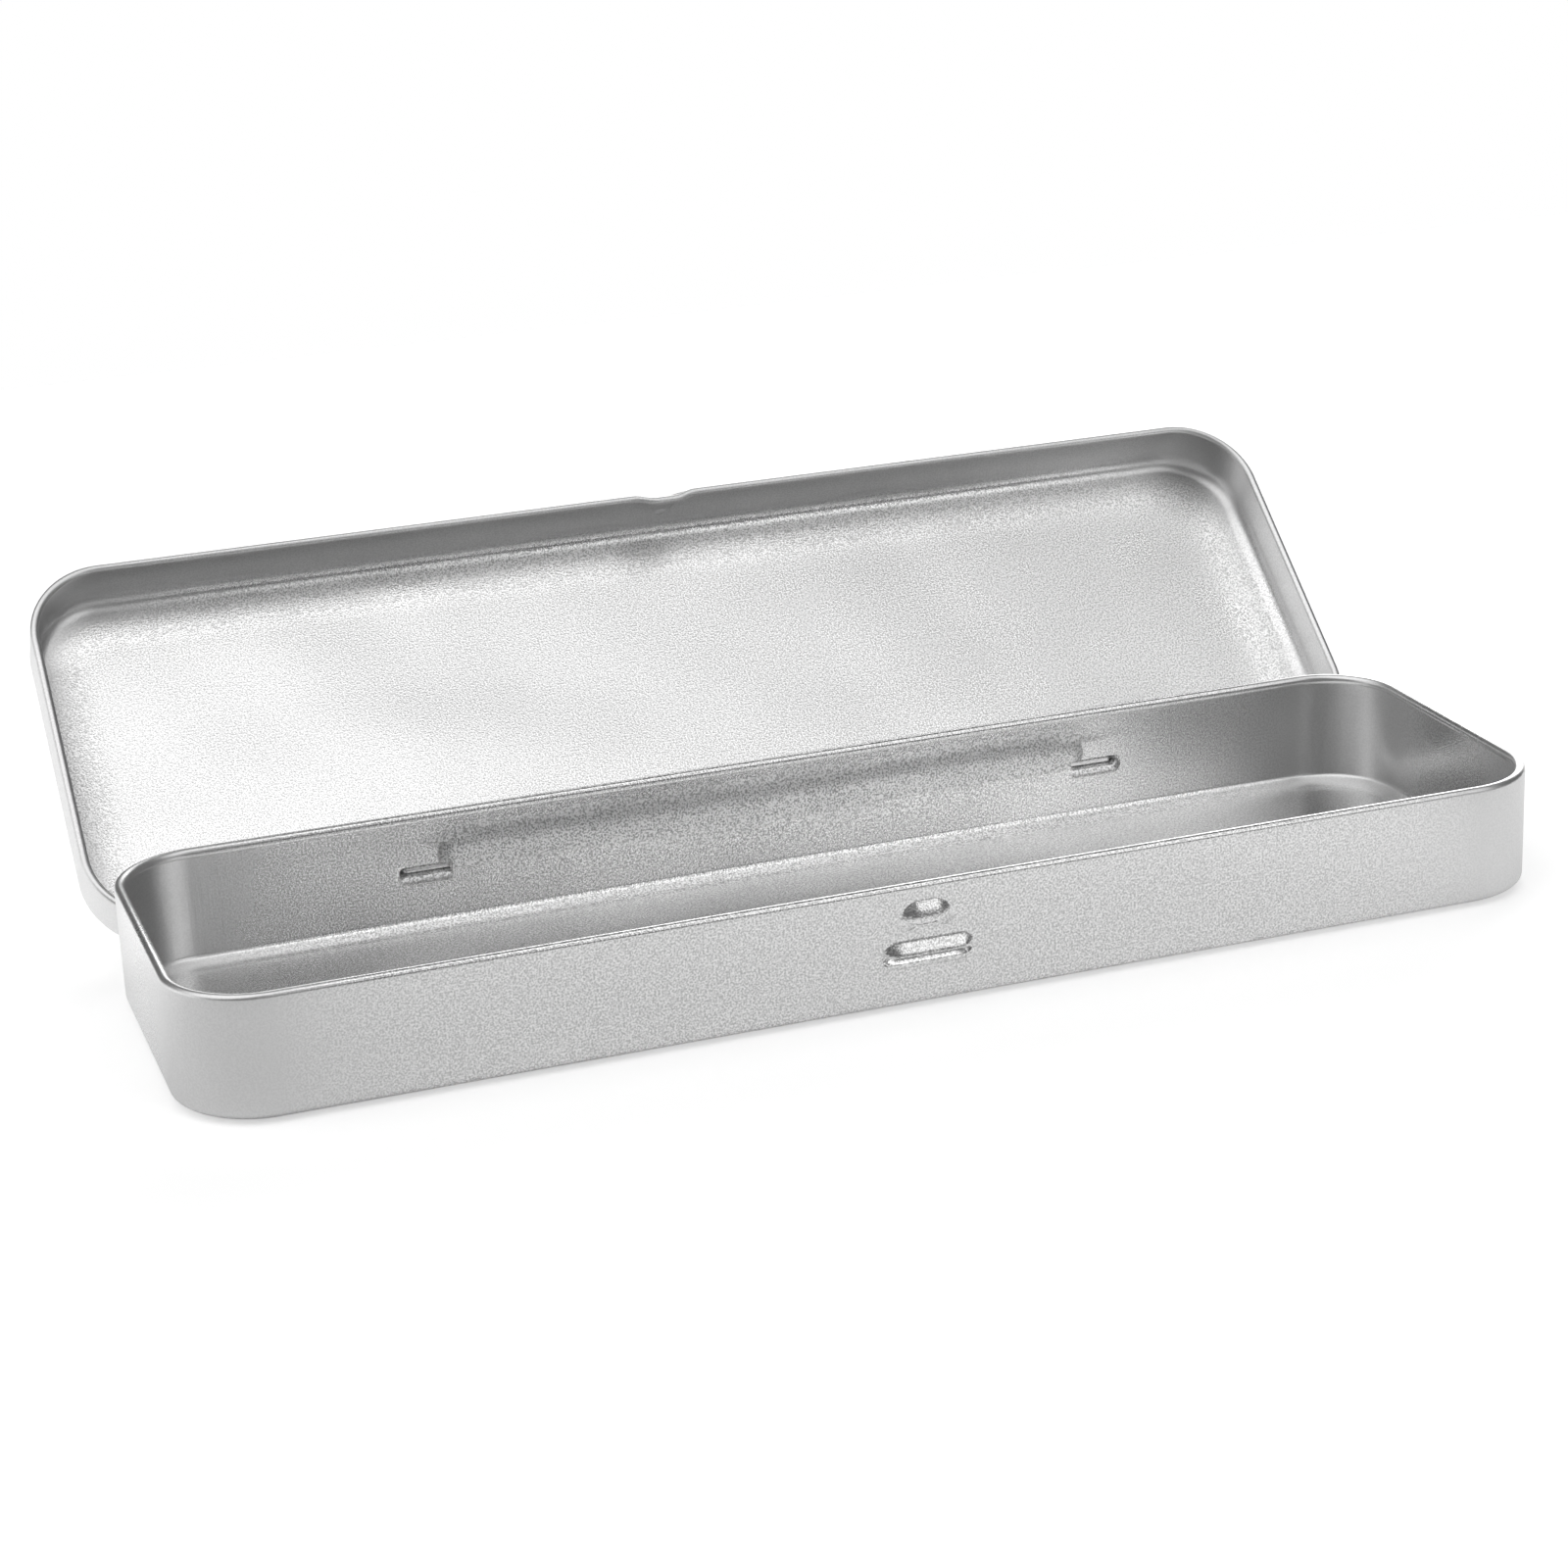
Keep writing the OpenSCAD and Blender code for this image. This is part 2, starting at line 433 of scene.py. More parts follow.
def _gap(point: Vector, start: Point, end: Point) -> Vector:
    """Measures the way from a straight stretch to a point.

    Args:
        point: The point, in metres.
        start: One end of the stretch, in millimetres.
        end: Its other end, in millimetres.

    Returns:
        The shortest way, in millimetres.
    """
    a, b = Vector(start), Vector(end)
    run = b - a
    here = point / MM - a
    if run.length_squared:
        here = here - run * _clamp(here.dot(run) / run.length_squared)
    return here


def apply(obj: bpy.types.Object, kind: str, **settings: object) -> None:
    """Adds a modifier to an object and applies it.

    Args:
        obj: The object.
        kind: The modifier's type.
        settings: The modifier's own settings.
    """
    modifier = obj.modifiers.new(kind.title(), kind)
    for key, value in settings.items():
        setattr(modifier, key, value)
    bpy.ops.object.select_all(action="DESELECT")
    obj.select_set(True)
    bpy.context.view_layer.objects.active = obj
    bpy.ops.object.modifier_apply(modifier=modifier.name)


def settle(obj: bpy.types.Object, move: Matrix) -> None:
    """Moves an object and applies the move to its mesh.

    Args:
        obj: The object.
        move: The move.
    """
    bpy.ops.object.select_all(action="DESELECT")
    obj.select_set(True)
    bpy.context.view_layer.objects.active = obj
    obj.matrix_world = move @ obj.matrix_world
    bpy.ops.object.transform_apply(location=True, rotation=True, scale=True)


def join(obj: bpy.types.Object, others: Sequence[bpy.types.Object]) -> None:
    """Joins other objects into one.

    Args:
        obj: The object that takes the others in.
        others: The others.
    """
    bpy.ops.object.select_all(action="DESELECT")
    for other in (obj, *others):
        other.select_set(True)
    bpy.context.view_layer.objects.active = obj
    bpy.ops.object.join()


def coat(obj: bpy.types.Object, material: bpy.types.Material) -> None:
    """Gives an object one material."""
    obj.data.materials.clear()
    obj.data.materials.append(material)


class Graph:
    """A node tree being wired up."""

    def __init__(self, tree: bpy.types.NodeTree) -> None:
        """Takes the tree to work on."""
        self.tree = tree

    def add(self, kind: str, *inputs: object, **settings: object) -> bpy.types.Node:
        """Adds a node.

        Args:
            kind: The node's type, without the word ShaderNode.
            inputs: What goes into its first sockets: a socket, a value, or None to skip one.
            settings: The node's own settings.

        Returns:
            The node.
        """
        node = self.tree.nodes.new("ShaderNode" + kind)
        for key, value in settings.items():
            setattr(node, key, value)
        for socket, value in zip(node.inputs, inputs):
            self.feed(socket, value)
        return node

    def feed(self, socket: bpy.types.NodeSocket, value: object) -> None:
        """Links a socket to another one, or sets its value.

        Args:
            socket: The socket.
            value: The other socket, the value, or None to leave it alone.
        """
        if isinstance(value, bpy.types.NodeSocket):
            self.tree.links.new(value, socket)
        elif value is not None:
            socket.default_value = value

    def math(self, operation: str, *inputs: object) -> bpy.types.NodeSocket:
        """Adds a Math node and gives back its result."""
        return self.add("Math", *inputs, operation=operation).outputs[0]

    def ramp(self, value: object, span: tuple[float, float], start: object, end: object,
             smooth: bool = False) -> bpy.types.NodeSocket:
        """Maps a value from one range to another, and holds it there.

        Args:
            value: The value.
            span: The range that it comes from.
            start: What the span's first end becomes.
            end: What its second end becomes.
            smooth: Eases in and out.

        Returns:
            The result.
        """
        kind = "SMOOTHSTEP" if smooth else "LINEAR"
        node = self.add("MapRange", value, *span, start, end, interpolation_type=kind)
        return node.outputs[0]

    def noise(self, vector: object, scale: float, detail: float = 1.0) -> bpy.types.NodeSocket:
        """Adds a Noise Texture.

        Args:
            vector: Where it is looked up.
            scale: How fine it is, for each metre.
            detail: How much finer noise is laid over it.

        Returns:
            Its factor.
        """
        node = self.add("TexNoise")
        self.feed(node.inputs["Vector"], vector)
        node.inputs["Scale"].default_value = scale
        node.inputs["Detail"].default_value = detail
        return node.outputs["Fac"]

    def bump(self, height: object, depth: float, under: object = None) -> bpy.types.NodeSocket:
        """Adds a Bump node.

        Args:
            height: The pattern.
            depth: How deep it is, in millimetres.
            under: The normal that it lies on, or None for the surface's own.

        Returns:
            Its normal.
        """
        node = self.add("Bump")
        node.inputs["Strength"].default_value = 1.0
        node.inputs["Distance"].default_value = depth * MM
        self.feed(node.inputs["Height"], height)
        self.feed(node.inputs["Normal"], under)
        return node.outputs["Normal"]


@dataclass(frozen=True)
class Tinplate:
    """Bare tinplate: a fine rolled grain, smoothed and streaked where the sheet was drawn.

    The marks on the sheet say where it was drawn and where it was worked. Where drawn, the
    colour is also darkened as painted shade, and where worked it is lightened as a painted
    sheen. Lengths are in millimetres, and a span is the range of a noise that counts.
    """

    name: str
    # How far the piece is turned from the way it was drawn, in degrees: the streaks follow.
    draw_tilt: float = 0.0
    colour: float = 0.76
    colour_spread: float = 0.012
    roughness: float = 0.22
    roughness_spread: float = 0.03
    cloud_per_mm: float = 0.08
    cloud_detail: float = 3.0
    cloud_span: tuple[float, float] = (0.3, 0.7)
    grain_per_mm: float = 3.8
    grain_depth: float = 0.03
    grain_span: tuple[float, float] = (0.35, 0.65)
    speckle: float = 0.27
    worked_speckle: float = 0.24
    # Painted sheen: how much the worked sheet is lightened.
    worked_painted_sheen: float = 0.03
    worked_roughness: float = 0.14
    smoothed: float = 0.85
    drawn_roughness: float = 0.12
    # Painted shade: how much the drawn sheet, in the corners and up the lid's skirt, is darkened.
    drawn_painted_shade: float = 0.05
    streak_per_mm: float = 2.6
    streak_depth: float = 0.012
    streak_length: float = 14.0
    wave_per_mm: float = 0.03
    wave_depth: float = 0.5

    def material(self) -> bpy.types.Material:
        """Makes the material.

        Returns:
            The material.
        """
        material = bpy.data.materials.new(self.name)
        material.use_nodes = True
        graph = Graph(material.node_tree)
        shader = material.node_tree.nodes["Principled BSDF"]
        shader.inputs["Metallic"].default_value = 1.0
        turn = graph.add("Mapping", graph.add("TexCoord").outputs["Object"])
        turn.inputs["Rotation"].default_value = (math.radians(self.draw_tilt), 0, 0)
        place = turn.outputs[0]
        drawn, worked = (
            graph.add("Attribute", attribute_name=mark).outputs["Fac"] for mark in (DRAWN, WORKED)
        )
        grain = graph.noise(place, self.grain_per_mm / MM)
        left = graph.ramp(drawn, (0, 1), 1, 1 - self.smoothed)
        graph.feed(shader.inputs["Normal"], self.relief(graph, place, grain, drawn, left))
        cloud = graph.noise(place, self.cloud_per_mm / MM, self.cloud_detail)

        # Roughness.
        low, high = self.roughness - self.roughness_spread, self.roughness + self.roughness_spread
        dull = graph.ramp(cloud, self.cloud_span, low, high)
        dull = graph.math("MULTIPLY_ADD", worked, self.worked_roughness, dull)
        dull = graph.math("MULTIPLY_ADD", drawn, self.drawn_roughness, dull)
        graph.feed(shader.inputs["Roughness"], dull)

        # Colour, with the grain's specks, a painted sheen where worked and painted shade where
        # drawn.
        low, high = self.colour - self.colour_spread, self.colour + self.colour_spread
        tint = graph.ramp(cloud, self.cloud_span, low, high)
        tint = graph.math("MULTIPLY_ADD", worked, self.worked_painted_sheen, tint)
        tint = graph.math("MULTIPLY_ADD", drawn, -self.drawn_painted_shade, tint)
        contrast = graph.math("MULTIPLY_ADD", worked, self.worked_speckle, self.speckle)
        contrast = graph.math("MULTIPLY", contrast, left)
        specks = graph.math("MULTIPLY", graph.ramp(grain, self.grain_span, -1, 1), contrast)
        graph.feed(shader.inputs["Base Color"], graph.math("MULTIPLY_ADD", tint, specks, tint))
        return material

    def relief(self, graph: Graph, place: object, grain: object, drawn: object,
               left: object) -> bpy.types.NodeSocket:
        """Wires up the relief: slow waves, the streaks of drawing and the grain.

        Args:
            graph: The material's nodes.
            place: The place on the sheet.
            grain: The grain's noise.
            drawn: How far the sheet was drawn.
            left: How much of the grain is left.

        Returns:
            The normal.
        """
        squash = graph.add("Mapping", place)
        squash.inputs["Scale"].default_value = (1, 1, 1 / self.streak_length)
        waves = graph.bump(graph.noise(place, self.wave_per_mm / MM), self.wave_depth)
        streaks = graph.noise(squash.outputs[0], self.streak_per_mm / MM)
        lined = graph.bump(graph.math("MULTIPLY", streaks, drawn), self.streak_depth, waves)
        return graph.bump(graph.math("MULTIPLY", grain, left), self.grain_depth, lined)


@dataclass(frozen=True)
class HingeWire:
    """Drawn bright wire, with fine lines along X. Lengths are in millimetres."""

    name: str = "hinge_wire"
    colour: float = 0.86
    colour_spread: float = 0.05
    roughness: float = 0.2
    line_per_mm: float = 5.0
    line_detail: float = 2.0
    line_depth: float = 0.01
    line_squash: float = 0.05
    line_span: tuple[float, float] = (0.3, 0.7)

    def material(self) -> bpy.types.Material:
        """Makes the material.

        Returns:
            The material.
        """
        material = bpy.data.materials.new(self.name)
        material.use_nodes = True
        graph = Graph(material.node_tree)
        shader = material.node_tree.nodes["Principled BSDF"]
        shader.inputs["Metallic"].default_value = 1.0
        shader.inputs["Roughness"].default_value = self.roughness
        along = graph.add("Mapping", graph.add("TexCoord").outputs["Object"])
        along.inputs["Scale"].default_value = (self.line_squash, 1, 1)
        lines = graph.noise(along.outputs[0], self.line_per_mm / MM, self.line_detail)
        low, high = self.colour - self.colour_spread, self.colour + self.colour_spread
        graph.feed(shader.inputs["Base Color"], graph.ramp(lines, self.line_span, low, high))
        graph.feed(shader.inputs["Normal"], graph.bump(lines, self.line_depth))
        return material


@dataclass
class DrawnPan:
    """A pan drawn from one sheet of tinplate, with a rolled rim.

    Sizes are in millimetres and angles in degrees. The wall rises from the flat in two arcs: a
    wide one of ease_r that turns by ease, and a tight one of fillet_r for the rest. The rim is
    rolled outwards and in again by curl. Steps are the faces along the wide arc, the tight one,
    a corner and the rim. Straight edges of at least long_run are cut at the coarse pitch.
    """

    name: str
    node: str
    body: str
    length: float
    width: float
    depth: float
    corner_r: float
    fillet_r: float
    rim_r: float
    finish: Tinplate
    ease_r: float = 4.5
    ease: float = 38.0
    sheet: float = 0.3
    curl: float = 288.0
    coarse: float = 3.2
    long_run: float = 5.12
    steps: tuple[int, int, int, int] = (8, 9, 40, 20)
    middle_y: float = 0.0
    # The band along the foot of the walls, where the sheet was bent hardest and is worked,
    # roughened and lightened as a painted sheen: how high it reaches and how far inside the
    # outline, and how far it takes to fade in both.
    band: tuple[float, float] = (1.6, 3.4)
    band_fade: tuple[float, float] = (0.8, 2.2)
    # The sheet is drawn smooth in the corners, and its colour darkened there as painted shade:
    # up to here inside the outline, over what it fades, how far it reaches along the walls, and
    # how much of it the walls have elsewhere.
    smooth_in: float = 5.3
    smooth_fade: float = 3.8
    smooth_reach: float = 10.0
    skirt_smooth: float = 0.0
    bench: Bench = field(init=False)

    @property
    def eased(self) -> tuple[float, float]:
        """How far the easing arc's end lies from the tight fillet's middle, sideways and up."""
        ease, more = math.radians(self.ease), self.ease_r - self.fillet_r
        return more * math.sin(ease), self.ease_r - more * math.cos(ease)

    @property
    def run(self) -> float:
        """How far the wall's foot reaches over the flat."""
        return self.eased[0] + self.fillet_r

    @property
    def rise(self) -> float:
        """How far the wall's foot reaches up the wall."""
        return self.eased[1]

    def draw(self) -> None:
        """Draws a quarter of the pan, opening up and underside at Z = 0, and mirrors it."""
        ease, fillet, corner, rim = self.steps
        half = (self.length / 2, self.width / 2)
        core = (half[0] - self.corner_r, half[1] - self.corner_r)
        bench = self.bench = Bench(self.name, core, (0, 0, 0))
        up = Axis.Z.unit
        starts = (
            Box((0, core[1], 0), (*core, 0)),
            Box((core[0], 0, 0), (*core, 0)),
        )
        for side, about, sense, start in zip((Axis.Y, Axis.X), (Axis.X, Axis.Y), (1, -1), starts):
            out, edge = side.unit, half[side.value]
            bench.pick(Kind.EDGES, lambda e: all(start.holds(v.co) for v in e.verts))
            bench.extrude(out * (self.corner_r - self.run))
            middle = out * (edge - self.run) + up * self.ease_r
            bench.spin(middle, about, self.ease * sense, ease)
            middle = out * (edge - self.fillet_r) + up * self.rise
            bench.spin(middle, about, (90 - self.ease) * sense, fillet)
            bench.extrude(up * (self.depth - self.rim_r - self.rise))
            middle = out * (edge - self.rim_r) + up * (self.depth - self.rim_r)
            bench.spin(middle, about, self.curl * sense, rim)
        section = Box((*core, 0), (core[0], half[1], self.depth))
        bench.pick(Kind.EDGES, lambda e: all(section.holds(v.co) for v in e.verts))
        bench.spin((core[0], core[1], 0), Axis.Z, -90, corner)
        bench.weld()
        apply(bench.close(), "MIRROR", use_axis=(True, True, False), merge_threshold=2 * WELD)
        bench.open()
        bench.weld()
        bench.face_out(-Axis.Z.unit)

    def divide_runs(self) -> None:
        """Gives the long straight runs a coarse, even grid."""
        everywhere = Box((-self.length, -self.length, -self.length), (self.length,) * 3)
        for axis in Axis:
            self.bench.divide(everywhere, axis, self.coarse, self.long_run)

    def thicken(self) -> bpy.types.Object:
        """Gives the sheet its thickness and smooth shading.

        Returns:
            The pan's object.
        """
        obj = self.bench.close()
        for name, measure in ((DRAWN, self.drawn), (WORKED, self.worked)):
            marks = obj.data.attributes.new(name, "FLOAT", "POINT")
            marks.data.foreach_set("value", [measure(v.co / MM) for v in obj.data.vertices])
        apply(obj, "SOLIDIFY", thickness=self.sheet * MM, offset=-1.0)
        bpy.ops.object.shade_smooth_by_angle(angle=math.radians(SHARP_EDGE))
        return obj

    def dress(self, obj: bpy.types.Object) -> None:
        """Gives the pan its finish, hides the part that it replaces and hangs it on its body.

        Args:
            obj: The pan's object.
        """
        coat(obj, self.finish.material())
        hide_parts(self.node)
        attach(obj, self.body)

    def height(self, point: Vector) -> float:
        """How far a point lies from the pan's flat, in millimetres."""
        return point.z

    def past(self, point: Vector) -> tuple[float, float]:
        """How far a point lies past the middles of the corners, along X and along Y."""
        core = (self.length / 2 - self.corner_r, self.width / 2 - self.corner_r)
        return abs(point.x) - core[0], abs(point.y - self.middle_y) - core[1]

    def inside(self, point: Vector) -> float:
        """How far a point lies inside the outline, in millimetres."""
        beyond = [max(p, 0.0) for p in self.past(point)]
        return self.corner_r - (math.hypot(*beyond) if min(beyond) > 0 else max(beyond))

    def cornered(self, point: Vector) -> float:
        """How near a point is to a corner, from 0 to 1."""
        return math.exp(min(0.0, min(self.past(point))) / self.smooth_reach)

    def drawn(self, point: Vector) -> float:
        """Tells how far the grain was drawn smooth, in the corners and up the walls.

        The walls are smooth down to the top of their tight arc, and it fades over half of it.
        The same mark darkens the colour as painted shade.

        Args:
            point: The place, in millimetres.

        Returns:
            0 where the grain is as rolled, up to 1.
        """
        corner = _clamp((self.smooth_in - self.inside(point)) / self.smooth_fade)
        corner *= self.cornered(point)
        wall = _clamp(self.height(point) / self.fillet_r * 2 - 1)
        return max(corner, wall * self.skirt_smooth)

    def worked(self, point: Vector) -> float:
        """Tells how far the grain was roughened, in the band along the walls' feet.

        The same mark lightens the colour as a painted sheen.

        Args:
            point: The place, in millimetres.

        Returns:
            0 where the grain is as rolled, up to 1.
        """
        up = _clamp((self.band[0] - self.height(point)) / self.band_fade[0])
        over = _clamp((self.band[1] - self.inside(point)) / self.band_fade[1])
        return up * over * (1 - self.cornered(point))


@dataclass
class Tray(DrawnPan):
    """The lower pan, with its catch, finger bar and knuckles pressed out of the walls."""

    name: str = "tray_pan"
    node: str = "base_tray"
    body: str = "tray"
    length: float = 186.8
    width: float = 54.8
    depth: float = 17.1
    corner_r: float = 11.6
    fillet_r: float = 1.1
    rim_r: float = 0.7
    finish: Tinplate = Tinplate("tinplate_tray")
    # The catch boss, and the groove under it.
    catch: Feature = Feature(
        middle=(1.9, 12.1),
        patch=((-5.0, -1.375), (5.0, 4.0)),
        pitch=0.125,
        slit=((-2.375, 0), (2.5, 0)),
        strokes=(
            Stroke(-0.9, 1.1, 0, -0.95, 2.6, side=UP),
            Stroke(-1.6, 1.6, 0, 0.2, 0.6, side=DOWN),
        ),
    )
    # The finger bar in two strokes, the groove under it and the rib below.
    finger_bar: Feature = Feature(
        middle=(2.1, 7.7),
        patch=((-9.6, -2.6), (9.6, 2.8)),
        pitch=0.2,
        slit=((-6.2, 0), (6.2, 0)),
        strokes=(
            Stroke(-4.8, 5.0, 0, -0.5, 1.9, Falloff.SOFT, side=UP),
            Stroke(-3.6, 4.2, 0, -0.42, 2.4, Falloff.SOFT, side=UP),
            Stroke(-5.4, 5.2, 0, 0.45, 1.0, side=DOWN),
            Stroke(-5.3, 4.5, -1.2, -0.42, 0.7),
        ),
    )
    # The right knuckle, open towards the middle: its bore, and the flare round it.
    knuckle: Feature = Feature(
        middle=(46.2, 8.05),
        patch=((-2.0, -3.8), (9.8, 4.0)),
        pitch=0.2,
        slit=((0, -1.2), (0, 1.8)),
        strokes=(
            Stroke(0, 6.6, 0.4, 1.16, 0.9, Falloff.ROUND, side=RIGHT),
            Stroke(0, 6.6, -0.1, 0.6, 1.8, Falloff.SOFT, side=RIGHT),
        ),
    )
    # The fold in the rear wall: the heights of its rows, how far they reach to either side
    # between the knuckles and above them, the heights above the knuckles from which faces
    # and edges are cut, and the pitch along the wall.
    fold_rows: tuple[float, ...] = (
        8.1, 8.3, 8.5, 8.8, 9.2, 9.6, 10.0, 10.4, 10.8, 11.4, 12.2, 13.0, 14.0, 15.0, 15.8,
    )
    fold_half: tuple[float, float] = (44.2, 56.0)
    fold_above: tuple[float, float] = (12.0, 12.5)
    fold_pitch: float = 1.6
    fold: tuple[Stroke, ...] = (
        Stroke(-45.6, 45.6, 10.4, -0.26, 2.2, grip=0.25),
        Stroke(-45.6, 45.6, 12.2, -0.12, 3.6, Falloff.SOFT, grip=0.25),
    )
    # The rear wall is fully worked, roughened and lightened as a painted sheen, where it was
    # pressed this far, and this much of the band along the foot shows.
    fold_worked: float = 0.15
    band_share: float = 0.5

    def wall(self, y: float) -> Box:
        """The flat part of the front or rear wall, without thickness."""
        reach = self.length / 2 - self.corner_r
        return Box((-reach, y, self.rise), (reach, y, self.depth - self.rim_r))

    def press_feature(self, feature: Feature, y: float, sense: int = 1) -> None:
        """Gives a feature its fine grid, cuts its slit and presses its shape.

        Args:
            feature: The feature.
            y: Where its wall lies.
            sense: 1, or -1 for the feature mirrored to the left.
        """
        middle = (feature.middle[0] * sense, y, feature.middle[1])

        def at(place: Place) -> Point:
            """A place on the wall, counted from the feature's middle."""
            return middle[0] + place[0] * sense, y, middle[2] + place[1]

        low, high = (at(place) for place in feature.patch)
        if sense < 0:
            low, high = (high[0], *low[1:]), (low[0], *high[1:])
        self.bench.refine(self.wall(y), Patch(Box(low, high), feature.pitch))
        self.bench.split(Slit(*(at(place) for place in feature.slit)))
        for stroke in feature.strokes:
            self.bench.press(stroke.at(middle, sense))

    def press_fold(self) -> None:
        """Presses the rear wall inwards above the height of the pins, from knuckle to knuckle.

        Above the knuckles the rows go on, so that the fold ends without a crease.
        """
        y, top = self.width / 2, self.depth - self.rim_r
        inner, outer = self.fold_half
        face_z, edge_z = self.fold_above
        high_rows = [row for row in self.fold_rows if row > edge_z]
        for reach, low, rows, first in ((inner, self.rise, self.fold_rows, self.fold_rows[0]),
                                        (outer, face_z, high_rows, edge_z)):
            self.bench.slice(Box((-reach, y, low), (reach, y, top)), Axis.Z, rows)
            self.bench.divide(Box((-reach, y, first), (reach, y, top)), Axis.X, self.fold_pitch)
        for stroke in self.fold:
            self.bench.press(stroke.at((0, y, 0)))

    def worked(self, point: Vector) -> float:
        """Tells how far the grain was roughened: along the feet and where the rear is pressed.

        The same mark lightens the colour as a painted sheen.

        Args:
            point: The place, in millimetres.

        Returns:
            0 where the grain is as rolled, up to 1.
        """
        pressed = 0.0
        rear = point.y > 0 and self.past(point)[0] < 0
        if rear and self.rise < point.z < self.depth - 2 * self.rim_r:
            pressed = _clamp(abs(point.y - self.width / 2) / self.fold_worked)
        return max(pressed, self.band_share * super().worked(point))

    def build(self) -> bpy.types.Object:
        """Builds the tray.

        Returns:
            The tray's object.
        """
        self.draw()
        front, rear = -self.width / 2, self.width / 2
        self.press_feature(self.catch, front)
        self.press_feature(self.finger_bar, front)
        self.press_feature(self.knuckle, rear, -1)
        self.press_feature(self.knuckle, rear)
        self.press_fold()
        self.divide_runs()
        return self.thicken()


@dataclass
class Lid(DrawnPan):
    """The upper pan, drawn shut and then turned open about the hinge."""

    name: str = "lid_pan"
    node: str = "lid"
    body: str = "lid"
    length: float = 189.7
    width: float = 58.674
    depth: float = 10.357
    corner_r: float = 11.4
    fillet_r: float = 2.8
    rim_r: float = 0.6
    ease_r: float = 38.0
    ease: float = 10.5
    middle_y: float = -0.237
    skirt_smooth: float = 0.75
    band: tuple[float, float] = (1.3, 5.0)
    # Where the rim's edge lies when the lid is shut, the hinge's axis in Y and Z, and the
    # angle of the open stop.
    rim_z: float = 9.843
    pin: tuple[float, float] = (28.4, 8.4)
    open_angle: float = 139.8
    finish: Tinplate = Tinplate(
        "tinplate_lid", draw_tilt=open_angle, speckle=0.22, drawn_roughness=0.16
    )
    # The panel is worked by up to this much, from here in X and over this length, roughened
    # and lightened as a painted sheen.
    panel_worked: float = 0.5
    panel_from: float = -30.0
    panel_over: float = 110.0
    # The dent in the front rim: its middle, half the length of its fine grid, the pitches of
    # the grid in X and Z, and its stroke.
    dent_x: float = 0.8
    dent_half: float = 6.4
    dent_pitch: tuple[float, float] = (0.25, 0.5)
    dent: Stroke = Stroke(-0.6, 1.2, 0, 0.8, 3.4, Falloff.SOFT, grip=0.72)
    # The snap nib in the front skirt: its place along X and above the rim's edge, half the
    # size of its fine grid, the grid's pitch, and its stroke.
    nib_at: Place = (1.2, 5.1)
    nib_half: float = 1.4
    nib_pitch: float = 0.2
    nib: Stroke = Stroke(0, 0, 0, 0.22, 0.7, grip=0.15)
    # The lugs: where one starts, its length and radius, how far above the rim's edge its foot
    # lies, and how far and in how many faces it curls round its pin.
    lug_x: float = 39.65
    lug_length: float = 6.2
    lug_r: float = 0.7
    lug_foot: float = 1.2
    lug_curl: float = 300.0
    lug_steps: int = 20

    def height(self, point: Vector) -> float:
        """How far a point lies from the pan's flat, in millimetres."""
        return self.rim_z + self.depth - point.z

    def worked(self, point: Vector) -> float:
        """Tells how far the grain was roughened: along the feet, and on the panel to the right.

        The same mark lightens the colour as a painted sheen.

        Args:
            point: The place, in millimetres.

        Returns:
            0 where the grain is as rolled, up to 1.
        """
        panel = 0.0
        if self.inside(point) > self.fillet_r:
            panel = self.panel_worked * _clamp((point.x - self.panel_from) / self.panel_over)
        return max(panel, super().worked(point))

    @property
    def front_y(self) -> float:
        """Where the outside of the front skirt lies."""
        return self.middle_y - self.width / 2

    def press_nib(self) -> None:
        """Presses the snap nib into the front skirt."""
        x, y, z = self.nib_at[0], self.front_y, self.rim_z + self.nib_at[1]
        reach, half = self.length / 2 - self.corner_r, self.nib_half
        skirt = Box(
            (-reach, y, self.rim_z + self.rim_r),
            (reach, y, self.rim_z + self.depth - self.rise),
        )
        patch = Box((x - half, y, z - half), (x + half, y, z + half))
        self.bench.refine(skirt, Patch(patch, self.nib_pitch))
        self.bench.press(self.nib.at((x, y, z)))

    def press_dent(self) -> None:
        """Presses the dent into the front rim."""
        x, y, low, high = self.dent_x, self.front_y, self.rim_z, self.rim_z + self.depth
        reach = self.length / 2 - self.corner_r
        left, right = x - self.dent_half, x + self.dent_half
        front = Box((-reach, y, low), (reach, y + self.run, high))
        self.bench.slice(front, Axis.X, (left, right))
        pitch_x, pitch_z = self.dent_pitch
        self.bench.divide(Box((left, y, low), (right, y + self.run, high)), Axis.X, pitch_x)
        self.bench.divide(Box((left, y, low), (right, y, high)), Axis.Z, pitch_z)
        self.bench.press(self.dent.at((x, y + self.rim_r, low + self.rim_r)))

    def open_up(self, obj: bpy.types.Object) -> None:
        """Turns the shut lid about the hinge to its stop.

        Args:
            obj: The lid's object.
        """
        pin = Matrix.Translation(Vector((0, *self.pin)) * MM)
        turn = Matrix.Rotation(math.radians(-self.open_angle), 4, "X")
        settle(obj, pin @ turn @ pin.inverted())

